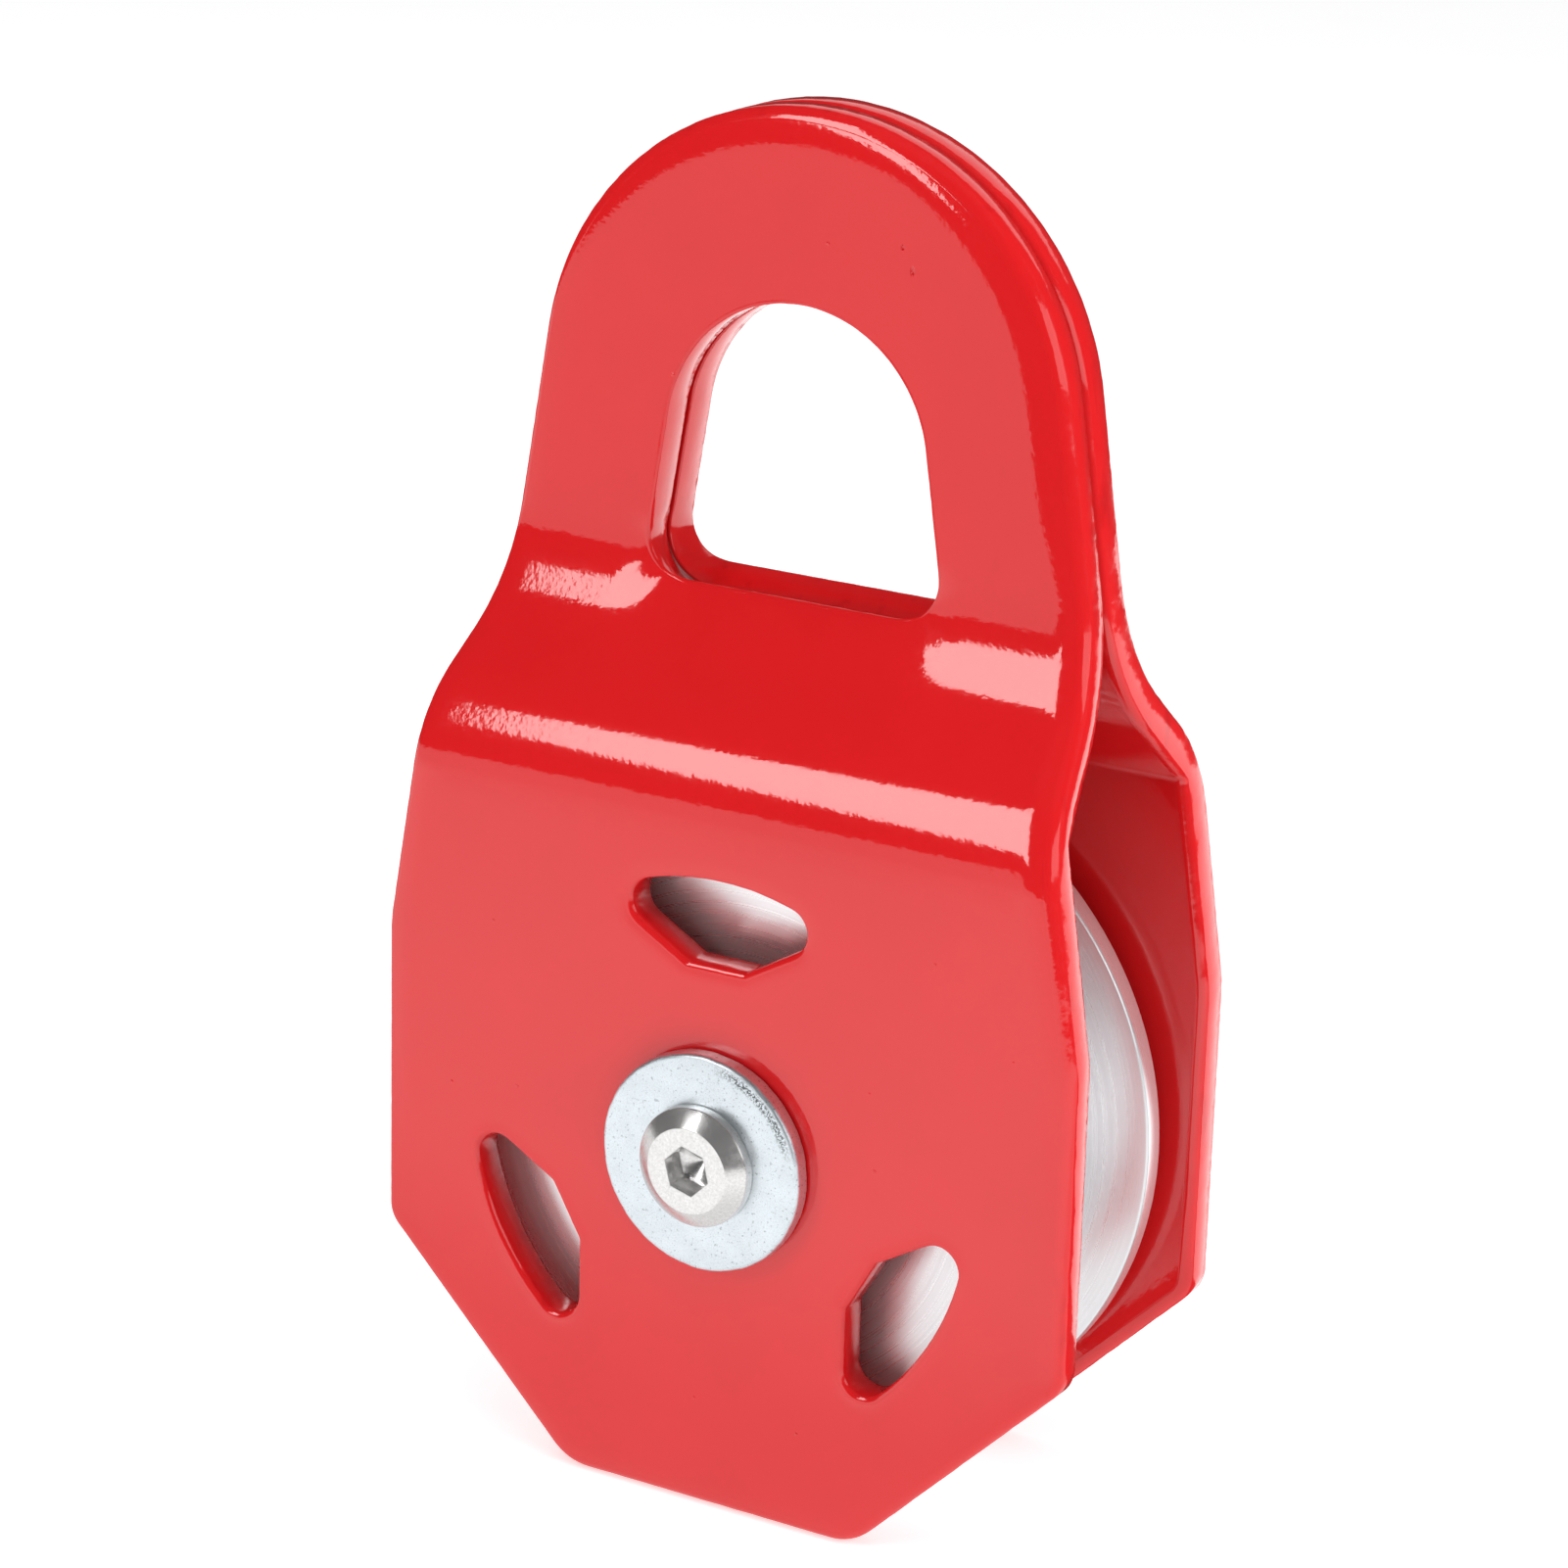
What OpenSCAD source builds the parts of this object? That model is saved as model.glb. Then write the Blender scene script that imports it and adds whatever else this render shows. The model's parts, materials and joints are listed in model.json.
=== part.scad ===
// Snatch block with two joggled side plates, a ball-bearing sheave and one axle.
// Millimetres, +Z up. The origin is on the floor, midway between the plates, below the axle.
// The front plate is on the -Y side and the back plate on the +Y side.

/* [Side plates] */
// Thickness of each side plate, paint included
plate_t = 5.5; // [5:0.1:5.5]
// Half the overall width across the two outer faces at the sheave
cheek_y = 22; // [21.8:0.1:22.2]
// Distance from the middle plane to the outer face at the eye
eye_y = 5.8; // [5.8:0.1:6.2]
// Half the width of the plate at its widest
half_w = 52; // [51:0.5:54]
// Half the width of the flat edge at the foot, before its corners are rounded
foot_half_w = 22.3; // [20:0.1:24]
// Rounding of the two foot corners
foot_r = 8; // [4:0.5:9]
// Rounding of the corners beside the sheave
side_r = 5; // [2:0.5:8]
// Outer radius of the eye's arch
arch_r = 39; // [38:0.1:40]
// Height of the centre of the arch
arch_z = 147; // [146:0.5:149]
// Angle at which the plate widens below the arch
taper = 9; // [8.5:0.1:9.5]

/* [Joggle] */
// Height where the lower outer face would meet the slope
bend_lo_z = 103.2; // [102:0.1:106]
// Bend angle
bend_a = 45; // [44:0.5:46]
// Outer radius of the lower bend
bend_lo_r = 19.5; // [17:0.5:21]
// Radius of the outer face in the upper bend
bend_up_r = 23; // [20:0.5:24]
// Radius of the inner face where it breaks sharply in the lower bend
crease_r = 1.5; // [0.5:0.1:3]

/* [Eye slot] */
// Radius of the top of the slot
slot_r = 19.3; // [18:0.1:20]
// Height of the centre of that radius
slot_z = 141.7; // [140:0.1:142]
// Height of the slot's flat bottom
slot_bottom = 121.3; // [120:0.1:124]
// Rounding of the slot's bottom corners
slot_corner = 6.5; // [4:0.5:8]

/* [Windows] */
// Number of windows round the axle
window_n = 3; // [3:1:3]
// Radius of the outer edge of each window
window_r = 37.8; // [36:0.1:39]
// Distance from the axle to the window's short side
window_in = 26.2; // [25:0.1:27]
// Half the length of that short side
window_flat = 4.3; // [3:0.1:5]
// Angle between the short side and the slanted sides
window_a = 30; // [28:1:32]
// Rounding of the outer corners
window_corner = 3.2; // [2:0.1:3.6]

/* [Axle] */
// Height of the axle above the floor
axle_z = 50.5; // [50:0.5:52]
// Diameter of the barrel
axle_d = 17; // [17:1:17]
// Nominal diameter of the screws
screw_d = 10; // [8:1:10]
// Length of each screw below its head
screw_l = 18; // [14:1:20]
// Diameter of the screw head
head_d = 16.4; // [15:0.1:18]
// Height of the straight part of the head
head_side = 1.4; // [1:0.1:2]
// Height of the head's chamfer
head_cone = 1.8; // [1:0.1:2.2]
// Diameter of the head's flat face
head_face = 11.8; // [11:0.1:13]
// Width across the flats of the hexagon socket
hex_af = 5.8; // [5:0.1:6]
// Depth of the hexagon socket
hex_deep = 3.4; // [3:0.1:5]
// Outer diameter of the outer washers
washer_d = 30; // [28:1:34]
// Thickness of the outer washers
washer_t = 2.5; // [2:0.1:3]

/* [Sheave] */
// Outer radius of the sheave
sheave_r = 48; // [46:0.5:48]
// Width of the sheave
sheave_w = 27; // [27:0.5:28]
// Radius at the bottom of the rope groove
groove_bottom = 31; // [30:0.5:33]
// Radius of the groove's own section
groove_r = 7; // [6:0.5:7.5]
// Width of each flange's rim with its rounded edge
rim_w = 3.8; // [3:0.1:4.5]

/* [Bearings] */
// Outer diameter of the ball bearings
bearing_d = 35; // [35:1:35]
// Width of each ball bearing
bearing_w = 10; // [10:1:10]
// Ball diameter
ball_d = 4.76; // [4.5:0.01:4.8]
// Balls in each bearing
ball_n = 10; // [8:1:10]

/* [Clearances] */
// Radial clearance of shafts in their holes
run = 0.05; // [0.02:0.01:0.1]
// Gap between faces that pass each other
gap = 0.3; // [0.2:0.05:0.4]

/* [Hidden] */
$fn = 96;

// ---- joggle: centres and end heights of the two bends, on the +Y plate
t2 = tan(bend_a / 2);
lo_cy = cheek_y - bend_lo_r;
lo_cz = bend_lo_z - bend_lo_r * t2;
bend_up_z = bend_lo_z + (cheek_y - eye_y) / tan(bend_a);
up_cy = eye_y + bend_up_r;
up_cz = bend_up_z + bend_up_r * t2;
top_z = arch_z + arch_r;

// Points of an arc in the plane of the outline or the section
function arc(cx, cz, r, a0, a1, n) =
    [for (i = [0:n]) let (a = a0 + (a1 - a0) * i / n) [cx + r * cos(a), cz + r * sin(a)]];

// Side view of the plate: the outer face going up, then the inner face coming down
bend_n = 9;
section = concat(
    [[cheek_y, -1]],
    arc(lo_cy, lo_cz, bend_lo_r, 0, bend_a, bend_n),
    arc(up_cy, up_cz, bend_up_r, 180 + bend_a, 180, bend_n),
    [[eye_y, top_z + 1], [eye_y - plate_t, top_z + 1]],
    arc(up_cy, up_cz, bend_up_r + plate_t, 180, 180 + bend_a, bend_n),
    arc(cheek_y - plate_t - crease_r, bend_lo_z - (plate_t + crease_r) * t2, crease_r, bend_a, 0, 4),
    [[cheek_y - plate_t, -1]]);

// Half width of the plate, growing evenly with the length s of sheet below the upper bend's end
up_mid = bend_up_r + plate_t / 2;
lo_mid = bend_lo_r - plate_t / 2;
w_up = (arch_r + (arch_z - up_cz) * sin(taper)) / cos(taper);
slope_hi = up_cz - up_mid * sin(bend_a);
slope_lo = lo_cz + lo_mid * sin(bend_a);
s_up = up_mid * bend_a * PI / 180;
s_slope = (slope_hi - slope_lo) / cos(bend_a);
s_lo = lo_mid * bend_a * PI / 180;
function w_at(s) = w_up + tan(taper) * s;
widest_z = lo_cz - ((half_w - w_up) / tan(taper) - s_up - s_slope - s_lo);

// Centres of the rounded lower corners, where straight edges meet at 45 degrees
t22 = tan(22.5);
knee_z = half_w - foot_half_w;
half_outline = concat(
    arc(foot_half_w - foot_r * t22, foot_r, foot_r, -90, -45, 6),
    arc(half_w - side_r, knee_z + side_r * t22, side_r, -45, 0, 5),
    [[half_w, widest_z]],
    [for (i = [0:bend_n]) let (a = bend_a * i / bend_n)
        [w_at(s_up + s_slope + s_lo * (1 - i / bend_n)), lo_cz + lo_mid * sin(a)]],
    [for (i = [0:bend_n]) let (a = bend_a * (1 - i / bend_n))
        [w_at(s_up * (1 - i / bend_n)), up_cz - up_mid * sin(a)]],
    arc(0, arch_z, arch_r, taper, 90, 22));

function mirrored(half) = [for (i = [len(half) - 1:-1:0]) [-half[i][0], half[i][1]]];
function no_axis(half) = [for (i = [0:len(half) - 2]) half[i]];
outline = concat(half_outline, mirrored(no_axis(half_outline)));

// Slot for the shackle: round at the top, widening downwards, with rounded bottom corners
function slot_x(z) = (slot_r + (slot_z - z) * sin(taper)) / cos(taper);
slot_cx = slot_x(slot_bottom + slot_corner) - slot_corner / cos(taper);
half_slot = concat(
    arc(slot_cx, slot_bottom + slot_corner, slot_corner, -90, taper, 7),
    arc(0, slot_z, slot_r, taper, 90, 16));
slot = concat(half_slot, mirrored(no_axis(half_slot)));

// Window, drawn for the place above the axle
w_n = [sin(window_a), -cos(window_a)];
w_line = window_in * cos(window_a) - window_flat * sin(window_a);
w_q = sqrt(pow(window_r - window_corner, 2) - pow(w_line + window_corner, 2));
w_cx = w_q * cos(window_a) - (w_line + window_corner) * sin(window_a);
w_cz = w_q * sin(window_a) + (w_line + window_corner) * cos(window_a);
w_phi = atan2(w_cz, w_cx);
half_window = concat(
    [[window_flat, window_in]],
    arc(w_cx, w_cz, window_corner, window_a - 90, w_phi, 7),
    [for (i = [1:10]) let (a = w_phi + (90 - w_phi) * i / 10) [window_r * cos(a), window_r * sin(a)]]);
window = concat(half_window, mirrored(no_axis(half_window)));

// A flat shape in X and Z, extruded through the whole thickness
module through(points, depth = 80) {
    translate([0, depth / 2, 0]) rotate([90, 0, 0]) linear_extrude(depth) polygon(points);
}

// A solid turned about the axle: points give radius and position along Y
module turned(points) {
    translate([0, 0, axle_z]) rotate([-90, 0, 0]) rotate_extrude() polygon(points);
}

// A plain cylinder on the axle's line, from y0 to y1
module rod(r, y0, y1) {
    translate([0, y0, axle_z]) rotate([-90, 0, 0]) cylinder(h = y1 - y0, r = r);
}

module side_plate() {
    color("crimson")
    difference() {
        intersection() {
            translate([-half_w - 1, 0, 0]) rotate([90, 0, 90])
                linear_extrude(2 * half_w + 2) polygon(section);
            through(outline);
        }
        through(slot);
        for (i = [0:window_n - 1])
            translate([0, 0, axle_z]) rotate([0, 360 / window_n * i, 0]) through(window);
        rod(axle_d / 2 + run, cheek_y - plate_t - 2, cheek_y + 2);
    }
}

module back_plate() { side_plate(); }

module front_plate() { mirror([0, 1, 0]) side_plate(); }

// Rope groove: rounded bottom, straight flanks that are tangent to it, rounded rim edges
hw = sheave_w / 2;
groove_c = groove_bottom + groove_r;
rim_edge = 1;
rim_in = hw - rim_w;
edge_c = [sheave_r - rim_edge, rim_in + rim_edge];
// Tangent common to the groove's circle and the rim's rounded edge
g_d = edge_c - [groove_c, 0];
g_len = norm(g_d);
g_a = atan2(g_d[1], g_d[0]) + acos((groove_r + rim_edge) / g_len);
half_groove = concat(
    arc(groove_c, 0, groove_r, 180, g_a, 8),
    arc(edge_c[0], edge_c[1], rim_edge, g_a - 180, 0, 7));
shoulder_r = 14.5;
seat_r = bearing_d / 2 + run;
shoulder_w = 3;
module sheave() {
    upper = concat(
        half_groove,
        [[sheave_r, hw - 0.5], [sheave_r - 0.5, hw], [seat_r + 0.6, hw], [seat_r, hw - 0.6],
         [seat_r, shoulder_w], [shoulder_r, shoulder_w]]);
    lower = [for (i = [len(upper) - 1:-1:1]) [upper[i][0], -upper[i][1]]];
    color("silver") turned(concat(upper, lower));
}

// Ends of the barrel stand a little proud, so that the plates stay free
barrel_y = cheek_y + gap;
bore_r = screw_d / 2 + run;
module axle() {
    r = axle_d / 2;
    color("gray") turned([
        [bore_r, -barrel_y + 0.5], [bore_r + 0.5, -barrel_y], [r - 0.5, -barrel_y], [r, -barrel_y + 0.5],
        [r, barrel_y - 0.5], [r - 0.5, barrel_y], [bore_r + 0.5, barrel_y], [bore_r, barrel_y - 0.5]]);
}

washer_y = barrel_y + washer_t;
module outer_washer() {
    r = washer_d / 2;
    color("lightsteelblue") turned([
        [screw_d / 2 + 0.25, barrel_y], [r - 0.3, barrel_y], [r, barrel_y + 0.3],
        [r, washer_y - 0.5], [r - 0.5, washer_y], [screw_d / 2 + 0.25, washer_y]]);
}
module back_washer() { outer_washer(); }
module front_washer() { mirror([0, 1, 0]) outer_washer(); }

// Screw with its head outwards; the socket has a conical bottom
module socket_screw(turn) {
    hr = head_d / 2;
    y1 = washer_y + head_side;
    y2 = y1 + head_cone;
    color("gainsboro") difference() {
        turned([
            [0, barrel_y - screw_l], [screw_d / 2 - 1, barrel_y - screw_l],
            [screw_d / 2, barrel_y - screw_l + 1], [screw_d / 2, washer_y],
            [hr, washer_y], [hr, y1], [head_face / 2, y2], [0, y2]]);
        translate([0, y2 - hex_deep, axle_z]) rotate([-90, 0, 0]) rotate([0, 0, turn])
            cylinder(h = hex_deep + 1, r = hex_af / 2 / cos(30), $fn = 6);
        translate([0, y2 - hex_deep - 1.4, axle_z]) rotate([-90, 0, 0])
            cylinder(h = 1.4, r1 = 0, r2 = hex_af / 2);
    }
}
module back_screw() { socket_screw(8); }
module front_screw() { mirror([0, 1, 0]) socket_screw(-15); }

// Bearings: their middles lie at this distance from the middle plane
bearing_y = shoulder_w + bearing_w / 2;
bearing_end = shoulder_w + bearing_w;
pitch_r = (axle_d + bearing_d) / 4;
ring_in = pitch_r - ball_d / 2 + 0.68;
ring_out = pitch_r + ball_d / 2 - 0.63;
race_r = ball_d / 2 + 0.12;

module spacer() {
    color("silver") turned([
        [axle_d / 2 + run, bearing_end], [ring_in - 0.3, bearing_end],
        [ring_in - 0.3, cheek_y - plate_t - gap], [axle_d / 2 + run, cheek_y - plate_t - gap]]);
}
module back_spacer() { spacer(); }
module front_spacer() { mirror([0, 1, 0]) spacer(); }

module bearing_sleeve() {
    color("silver") turned([
        [axle_d / 2 + run, -shoulder_w], [ring_in - 0.3, -shoulder_w],
        [ring_in - 0.3, shoulder_w], [axle_d / 2 + run, shoulder_w]]);
}

// The round track that the balls run in
module race() {
    translate([0, bearing_y, axle_z]) rotate([-90, 0, 0])
        rotate_extrude() translate([pitch_r, 0]) circle(r = race_r);
}

module inner_ring() {
    b = bearing_w / 2;
    color("silver") difference() {
        turned([
            [axle_d / 2 + run, bearing_y - b + 0.4], [axle_d / 2 + run + 0.4, bearing_y - b],
            [ring_in, bearing_y - b], [ring_in, bearing_y + b],
            [axle_d / 2 + run + 0.4, bearing_y + b], [axle_d / 2 + run, bearing_y + b - 0.4]]);
        race();
    }
}
module back_inner_ring() { inner_ring(); }
module front_inner_ring() { mirror([0, 1, 0]) inner_ring(); }

module outer_ring() {
    b = bearing_w / 2;
    r = bearing_d / 2;
    color("silver") difference() {
        turned([
            [ring_out, bearing_y - b], [r - 0.5, bearing_y - b], [r, bearing_y - b + 0.5],
            [r, bearing_y + b - 0.5], [r - 0.5, bearing_y + b], [ring_out, bearing_y + b]]);
        race();
    }
}
module back_outer_ring() { outer_ring(); }
module front_outer_ring() { mirror([0, 1, 0]) outer_ring(); }

module ball_ring(r) {
    for (i = [0:ball_n - 1])
        translate([0, bearing_y, axle_z]) rotate([0, 360 / ball_n * i, 0])
            translate([pitch_r, 0, 0]) sphere(r = r);
}
module back_balls() { color("silver") ball_ring(ball_d / 2); }
module front_balls() { color("silver") mirror([0, 1, 0]) ball_ring(ball_d / 2); }

module cage() {
    color("darkgoldenrod") difference() {
        turned([
            [pitch_r - 0.6, bearing_y - 3.2], [pitch_r + 0.6, bearing_y - 3.2],
            [pitch_r + 0.6, bearing_y + 3.2], [pitch_r - 0.6, bearing_y + 3.2]]);
        for (i = [0:ball_n - 1])
            translate([0, bearing_y, axle_z]) rotate([0, 360 / ball_n * i, 0]) translate([pitch_r - 3, 0, 0])
                rotate([0, 90, 0]) cylinder(h = 6, r = ball_d / 2 + 0.08);
    }
}
module back_cage() { cage(); }
module front_cage() { mirror([0, 1, 0]) cage(); }

// Two thin shields close each bearing
module shields() {
    color("dimgray") for (s = [-1, 1])
        turned([
            [ring_in + 0.3, bearing_y + s * 4.4 - 0.2], [ring_out - run, bearing_y + s * 4.4 - 0.2],
            [ring_out - run, bearing_y + s * 4.4 + 0.2], [ring_in + 0.3, bearing_y + s * 4.4 + 0.2]]);
}
module back_shields() { shields(); }
module front_shields() { mirror([0, 1, 0]) shields(); }

back_plate();
front_plate();
sheave();
axle();
front_screw();
back_screw();
front_washer();
back_washer();
front_spacer();
back_spacer();
bearing_sleeve();
front_inner_ring();
back_inner_ring();
front_outer_ring();
back_outer_ring();
front_balls();
back_balls();
front_cage();
back_cage();
front_shields();
back_shields();
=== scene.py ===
import json
import math

import bpy
import numpy as np
from mathutils import Matrix, Vector
from mathutils.geometry import delaunay_2d_cdt


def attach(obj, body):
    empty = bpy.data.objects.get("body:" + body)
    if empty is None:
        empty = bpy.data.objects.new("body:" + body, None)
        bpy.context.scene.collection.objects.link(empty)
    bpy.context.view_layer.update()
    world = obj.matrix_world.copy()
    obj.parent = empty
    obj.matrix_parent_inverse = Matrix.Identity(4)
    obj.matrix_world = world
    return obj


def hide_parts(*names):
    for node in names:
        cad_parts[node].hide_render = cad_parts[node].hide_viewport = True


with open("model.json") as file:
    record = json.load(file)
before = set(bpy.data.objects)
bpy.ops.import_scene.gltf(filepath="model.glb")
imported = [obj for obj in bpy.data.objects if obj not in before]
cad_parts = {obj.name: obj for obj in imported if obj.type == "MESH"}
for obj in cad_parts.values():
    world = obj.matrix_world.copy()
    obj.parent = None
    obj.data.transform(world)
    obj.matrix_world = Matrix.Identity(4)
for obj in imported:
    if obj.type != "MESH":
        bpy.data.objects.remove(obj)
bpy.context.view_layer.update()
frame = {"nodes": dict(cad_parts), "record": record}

MM = 0.001
pi = math.pi
rad = math.radians

# ------------------------------------------------------------------ dimensions, millimetres
T = 5.5
CHEEK, EYE = 22.0, 5.8
HALF_W, FOOT_HALF_W = 52.0, 22.3
FOOT_R, SIDE_R, WIDE_R = 8.0, 5.0, 20.0
ARCH_R, ARCH_Z, TOP_Z = 39.0, 147.0, 186.0
TAPER = rad(9)
BEND = rad(45)
BEND_LO_Z, BEND_LO_R, BEND_UP_R, CREASE_R = 103.2, 19.5, 23.0, 1.5
SLOT_R, SLOT_Z, SLOT_BOTTOM, SLOT_CORNER = 19.3, 141.7, 121.3, 6.5
WIN_R, WIN_IN, WIN_FLAT, WIN_A, WIN_CORNER = 37.8, 26.2, 4.3, rad(30), 3.2
AXLE_Z = 50.5
GAP, WASHER_D, WASHER_T = 0.3, 30.0, 2.5

t2 = math.tan(BEND / 2)
LO_CY, LO_CZ = CHEEK - BEND_LO_R, BEND_LO_Z - BEND_LO_R * t2
UP_CY = EYE + BEND_UP_R
UP_CZ = BEND_LO_Z + (CHEEK - EYE) / math.tan(BEND) + BEND_UP_R * t2
M_UP, M_LO = BEND_UP_R + T / 2, BEND_LO_R - T / 2
sB, cB = math.sin(BEND), math.cos(BEND)
S_UP = M_UP * BEND
S_SL = (UP_CZ - M_UP * sB - LO_CZ - M_LO * sB) / cB
S_LO = M_LO * BEND
S_END = S_UP + S_SL + S_LO
W_UP = (ARCH_R + (ARCH_Z - UP_CZ) * math.sin(TAPER)) / math.cos(TAPER)
Z_TO_V = UP_CZ - S_END - LO_CZ          # v = z + Z_TO_V below the joggle


# ------------------------------------------------------------------ outlines as sampled paths
def line(p, q, step=1.0):
    p, q = np.array(p, float), np.array(q, float)
    d = q - p
    n = max(1, int(math.ceil(np.hypot(*d) / step)))
    u = d / np.hypot(*d)
    k = np.linspace(0, 1, n + 1)[:, None]
    return p + d * k, np.tile([u[1], -u[0]], (n + 1, 1))


def arc(cx, cz, r, a0, a1, step=0.8):
    n = max(3, int(math.ceil(abs(a1 - a0) * r / step)), int(math.ceil(abs(a1 - a0) / rad(9))))
    a = np.linspace(a0, a1, n + 1)
    d = np.stack([np.cos(a), np.sin(a)], 1)
    return np.array([cx, cz]) + r * d, d * (1 if a1 > a0 else -1)


def fillet(a, b, c, r):
    """Arc of radius r at corner b, for a path that turns left."""
    a, b, c = (np.array(p, float) for p in (a, b, c))
    u, w = (a - b) / np.hypot(*(a - b)), (c - b) / np.hypot(*(c - b))
    half = math.acos(float(np.clip(u @ w, -1, 1))) / 2
    mid = (u + w) / np.hypot(*(u + w))
    centre = b + mid * r / math.sin(half)
    p0, p1 = b + u * r / math.tan(half), b + w * r / math.tan(half)
    a0 = math.atan2(*(p0 - centre)[::-1])
    a1 = math.atan2(*(p1 - centre)[::-1])
    while a1 < a0:
        a1 += 2 * pi
    return (centre[0], centre[1], r, a0, a1), p0, p1


def joined(parts):
    """One closed loop: points and outward normals, without repeated points."""
    pts, nor = [], []
    for p, n in parts:
        for q, m in zip(p, n):
            if pts and np.hypot(*(q - pts[-1])) < 1e-4:
                m2 = nor[-1] + m
                nor[-1] = m2 / np.hypot(*m2)
                continue
            pts.append(q)
            nor.append(m)
    if np.hypot(*(pts[0] - pts[-1])) < 1e-4:
        m2 = nor[0] + nor[-1]
        nor[0] = m2 / np.hypot(*m2)
        pts.pop(), nor.pop()
    return np.array(pts), np.array(nor)


def outline_loop():
    v0 = Z_TO_V
    foot = (FOOT_HALF_W, v0)
    knee = (HALF_W, v0 + HALF_W - FOOT_HALF_W)
    wide = (HALF_W, UP_CZ - (HALF_W - W_UP) / math.tan(TAPER))
    tip = (ARCH_R * math.cos(TAPER), ARCH_Z + ARCH_R * math.sin(TAPER))
    f, f0, f1 = fillet((0, v0), foot, knee, FOOT_R)
    k, k0, k1 = fillet(foot, knee, wide, SIDE_R)
    w, w0, w1 = fillet(knee, wide, tip, WIDE_R)
    lo_v, hi_v = UP_CZ - S_END - 0.5, UP_CZ - S_END + S_LO + 0.5
    x_at = lambda v: HALF_W - (v - wide[1]) * math.tan(TAPER)
    right = [line((0, v0), f0), arc(*f), line(f1, k0), arc(*k, step=0.6), line(k1, w0), arc(*w, step=0.6),
             line(w1, (x_at(lo_v), lo_v)), line((x_at(lo_v), lo_v), (x_at(hi_v), hi_v), 0.5),
             line((x_at(hi_v), hi_v), tip, 0.8), arc(0, ARCH_Z, ARCH_R, TAPER, pi / 2)]
    flip = lambda part: (part[0][::-1] * [-1, 1], part[1][::-1] * [-1, 1])
    return joined(right + [flip(p) for p in right[::-1]])


def slot_loop():
    vb = UP_CZ - M_UP * math.asin((UP_CZ - SLOT_BOTTOM) / M_UP)
    x_at = lambda v: (SLOT_R + (SLOT_Z - v) * math.sin(TAPER)) / math.cos(TAPER)
    corner = (x_at(vb), vb)
    tip = (SLOT_R * math.cos(TAPER), SLOT_Z + SLOT_R * math.sin(TAPER))
    c, c0, c1 = fillet((0, vb), corner, tip, SLOT_CORNER)
    right = [line((0, vb), c0, 0.8), arc(*c, step=0.6), line(c1, tip, 0.8), arc(0, SLOT_Z, SLOT_R, TAPER, pi / 2, 0.7)]
    flip = lambda part: (part[0][::-1] * [-1, 1], part[1][::-1] * [-1, 1])
    return joined(right + [flip(p) for p in right[::-1]])


def window_loop(turn):
    n = WIN_IN * math.cos(WIN_A) - WIN_FLAT * math.sin(WIN_A)
    q = math.sqrt((WIN_R - WIN_CORNER) ** 2 - (n + WIN_CORNER) ** 2)
    cx = q * math.cos(WIN_A) - (n + WIN_CORNER) * math.sin(WIN_A)
    cz = q * math.sin(WIN_A) + (n + WIN_CORNER) * math.cos(WIN_A)
    phi = math.atan2(cz, cx)
    far = (cx + WIN_CORNER * math.sin(WIN_A), cz - WIN_CORNER * math.cos(WIN_A))
    c, c0, c1 = fillet((0, WIN_IN), (WIN_FLAT, WIN_IN), far, 1.0)
    right = [line((0, WIN_IN), c0, 0.7), arc(*c, step=0.2), line(c1, far, 0.7),
             arc(cx, cz, WIN_CORNER, WIN_A - pi / 2, phi, 0.5), arc(0, 0, WIN_R, phi, pi / 2, 0.7)]
    flip = lambda part: (part[0][::-1] * [-1, 1], part[1][::-1] * [-1, 1])
    p, m = joined(right + [flip(x) for x in right[::-1]])
    c_, s_ = math.cos(turn), math.sin(turn)
    rot = np.array([[c_, s_], [-s_, c_]])
    return p @ rot + [0, AXLE_Z + Z_TO_V], m @ rot


def bore_loop():
    p, m = arc(0, AXLE_Z + Z_TO_V, 8.55, 0, 2 * pi, 0.6)
    return p[:-1], m[:-1]


# ------------------------------------------------------------------ the joggle: flat sheet to bent plate
def mid_line(v):
    """Middle of the sheet in Y and Z, and the angle of its outward normal, for each v."""
    s = UP_CZ - v
    a_up = np.clip(s / M_UP, 0, BEND)
    a_lo = np.clip((S_END - s) / M_LO, 0, BEND)
    y = np.where(s <= 0, EYE - T / 2, UP_CY - M_UP * np.cos(a_up))
    z = np.where(s <= 0, v, UP_CZ - M_UP * np.sin(a_up))
    on_slope = s > S_UP
    k = np.clip(s - S_UP, 0, S_SL)
    y = np.where(on_slope, UP_CY - M_UP * cB + k * sB, y)
    z = np.where(on_slope, UP_CZ - M_UP * sB - k * cB, z)
    low = s > S_UP + S_SL
    y = np.where(low, LO_CY + M_LO * np.cos(a_lo), y)
    z = np.where(low, LO_CZ + M_LO * np.sin(a_lo) - np.clip(s - S_END, 0, None), z)
    ang = np.where(low, a_lo, a_up)
    return y, z, ang


CREASE_FLAT = (BEND_LO_R - T - CREASE_R) * t2
CREASE_LEN = 2 * CREASE_FLAT + CREASE_R * BEND


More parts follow.
